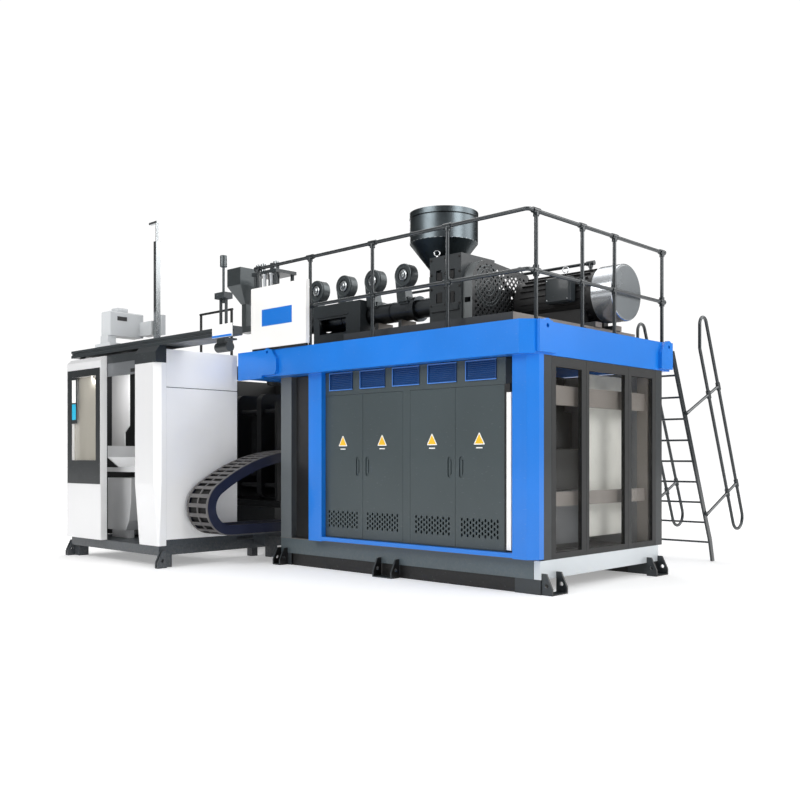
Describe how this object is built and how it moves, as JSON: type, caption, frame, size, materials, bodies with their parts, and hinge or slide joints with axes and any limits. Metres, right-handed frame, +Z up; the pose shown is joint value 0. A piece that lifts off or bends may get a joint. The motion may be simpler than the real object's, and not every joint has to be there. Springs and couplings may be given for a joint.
{
  "type": "blow moulding machine",
  "caption": "Extrusion blow moulding machine with roof-mounted extruder, glazed drive end, vented control cabinet, guard rail, ladder and shuttle clamping unit.",
  "frame": {"origin": "middle of the overall footprint, on the floor under the feet", "axes": "+X towards the glazed drive end along the machine's length, +Y towards the back where the ladder stands, +Z up"},
  "size_m": [7.254, 6.5069, 4.61],
  "materials": {
    "blue_paint": "semi-gloss powder coat",
    "base_grey_paint": "semi-gloss paint",
    "silver_paint": "satin silver paint",
    "black_paint": "satin black paint",
    "cabinet_grey_paint": "fine textured powder coat",
    "louvre_blue_paint": "satin paint",
    "door_frame_paint": "satin paint",
    "tube_paint": "semi-gloss paint",
    "white_paint": "semi-gloss powder coat",
    "machine_dark_paint": "satin paint",
    "light_grey_paint": "satin paint",
    "hopper_steel": "rolled and brushed",
    "barrel_steel": "turned steel",
    "blower_metal": "cast and painted",
    "bright_steel": "ground steel",
    "eye_chrome": "bright plated",
    "belt_rubber": "matt",
    "chain_plastic": "moulded plastic",
    "window_glass": "tinted safety glass",
    "chute_steel": "sheet steel"
  },
  "bodies": {
    "machine": {"barrel": "barrel_steel", "barrel_cover": "machine_dark_paint", "base_frame": "base_grey_paint", "belt_guard": "machine_dark_paint", "blowers": "blower_metal", "cabinet_shell": "cabinet_grey_paint", "chute": "chute_steel", "clamp_base": "base_grey_paint", "clamp_frame": "door_frame_paint", "clamp_panels": "white_paint", "die_head": "machine_dark_paint", "drive_belt": "belt_rubber", "end_sill": "silver_paint", "extruder_bed": "machine_dark_paint", "eye_bolts": "eye_chrome", "floor_plates": "machine_dark_paint", "frame_members": "door_frame_paint", "front_frame": "blue_paint", "gearbox": "machine_dark_paint", "guard_posts": "tube_paint", "guard_rails": "tube_paint", "guide_beam": "machine_dark_paint", "guide_end": "white_paint", "heater_bands": "barrel_steel", "hopper": "hopper_steel", "ladder": "tube_paint", "ladder_handrails": "tube_paint", "louvre_vents": "louvre_blue_paint", "machine_feet": "black_paint", "motor_body": "black_paint", "motor_cowl": "blower_metal", "power_unit": "black_paint", "regrind_hopper": "blower_metal", "sign_board": "white_paint", "skid_rails": "black_paint", "terminal_box": "machine_dark_paint", "top_beams": "blue_paint"},
    "cabinet_leaf_1": {"cabinet_door_1": "cabinet_grey_paint"},
    "cabinet_leaf_2": {"cabinet_door_2": "cabinet_grey_paint"},
    "cabinet_leaf_3": {"cabinet_door_3": "cabinet_grey_paint"},
    "cabinet_leaf_4": {"cabinet_door_4": "cabinet_grey_paint"},
    "end_leaf_1": {"end_door_1": "door_frame_paint", "end_glass_1": "window_glass"},
    "end_leaf_2": {"end_door_2": "door_frame_paint", "end_glass_2": "window_glass"},
    "end_leaf_3": {"end_door_3": "door_frame_paint", "end_glass_3": "window_glass"},
    "sliding_door": {"safety_door": "white_paint", "safety_frame": "door_frame_paint", "safety_glass": "window_glass"},
    "mould_carriage": {"carriage": "machine_dark_paint", "energy_chain": "chain_plastic"},
    "clamp_left": {"platen_left": "machine_dark_paint"},
    "clamp_right": {"platen_right": "machine_dark_paint"},
    "belt_wheel": {"large_pulley": "blower_metal"},
    "motor_wheel": {"motor_pulley": "blower_metal"},
    "screw": {"extruder_screw": "bright_steel"},
    "transfer": {"transfer_unit": "light_grey_paint"},
    "pick_mast": {"mast": "bright_steel"},
    "blow_pin": {"pin_rod": "bright_steel"}
  },
  "joints": [
    {"name": "cabinet_door_1_hinge", "type": "hinge", "parent": "machine", "child": "cabinet_leaf_1", "pos_m": [0.35, -1.8254, 1.277], "axis": [0, 0, -1], "range_deg": [0, 90]},
    {"name": "cabinet_door_2_hinge", "type": "hinge", "parent": "machine", "child": "cabinet_leaf_2", "pos_m": [1.646, -1.8254, 1.277], "axis": [0, 0, 1], "range_deg": [0, 90]},
    {"name": "cabinet_door_3_hinge", "type": "hinge", "parent": "machine", "child": "cabinet_leaf_3", "pos_m": [1.762, -1.8254, 1.277], "axis": [0, 0, -1], "range_deg": [0, 90]},
    {"name": "cabinet_door_4_hinge", "type": "hinge", "parent": "machine", "child": "cabinet_leaf_4", "pos_m": [3.084, -1.8254, 1.277], "axis": [0, 0, 1], "range_deg": [0, 90]},
    {"name": "end_door_1_hinge", "type": "hinge", "parent": "machine", "child": "end_leaf_1", "pos_m": [3.499, -1.5824, 1.38], "axis": [0, 0, -1], "range_deg": [0, 90]},
    {"name": "end_door_2_hinge", "type": "hinge", "parent": "machine", "child": "end_leaf_2", "pos_m": [3.499, -0.9329, 1.38], "axis": [0, 0, -1], "range_deg": [0, 90]},
    {"name": "end_door_3_hinge", "type": "hinge", "parent": "machine", "child": "end_leaf_3", "pos_m": [3.499, 0.5756, 1.38], "axis": [0, 0, 1], "range_deg": [0, 90]},
    {"name": "safety_door_slide", "type": "slide", "parent": "machine", "child": "sliding_door", "axis": [1, 0, 0], "range_m": [0, 0.76]},
    {"name": "carriage_shuttle", "type": "slide", "parent": "machine", "child": "mould_carriage", "axis": [0, -1, 0], "range_m": [0, 0.75], "deforming": ["energy_chain"]},
    {"name": "platen_left_slide", "type": "slide", "parent": "mould_carriage", "child": "clamp_left", "axis": [1, 0, 0], "range_m": [-0.2, 0.108]},
    {"name": "platen_right_slide", "type": "slide", "parent": "mould_carriage", "child": "clamp_right", "axis": [1, 0, 0], "range_m": [-0.108, 0.2]},
    {"name": "belt_wheel_spin", "type": "hinge", "parent": "machine", "child": "belt_wheel", "pos_m": [1.829, -0.5754, 3.465], "axis": [1, 0, 0], "continuous": true},
    {"name": "motor_wheel_spin", "type": "hinge", "parent": "machine", "child": "motor_wheel", "pos_m": [1.829, 0.0746, 3.285], "axis": [1, 0, 0], "continuous": true},
    {"name": "screw_spin", "type": "hinge", "parent": "machine", "child": "screw", "pos_m": [-0.201, -0.5754, 3.31], "axis": [1, 0, 0], "continuous": true},
    {"name": "transfer_slide", "type": "slide", "parent": "machine", "child": "transfer", "axis": [1, 0, 0], "range_m": [-0.4, 0.75]},
    {"name": "mast_lift", "type": "slide", "parent": "transfer", "child": "pick_mast", "axis": [0, 0, 1], "range_m": [-0.9, 0]},
    {"name": "blow_pin_lift", "type": "slide", "parent": "machine", "child": "blow_pin", "axis": [0, 0, 1], "range_m": [-0.25, 0]}
  ],
  "couplings": [
    {"joint": "platen_right_slide", "follows": "platen_left_slide", "ratio": -1},
    {"joint": "motor_wheel_spin", "follows": "belt_wheel_spin", "ratio": 2.3182},
    {"joint": "screw_spin", "follows": "belt_wheel_spin", "ratio": 0.08}
  ]
}
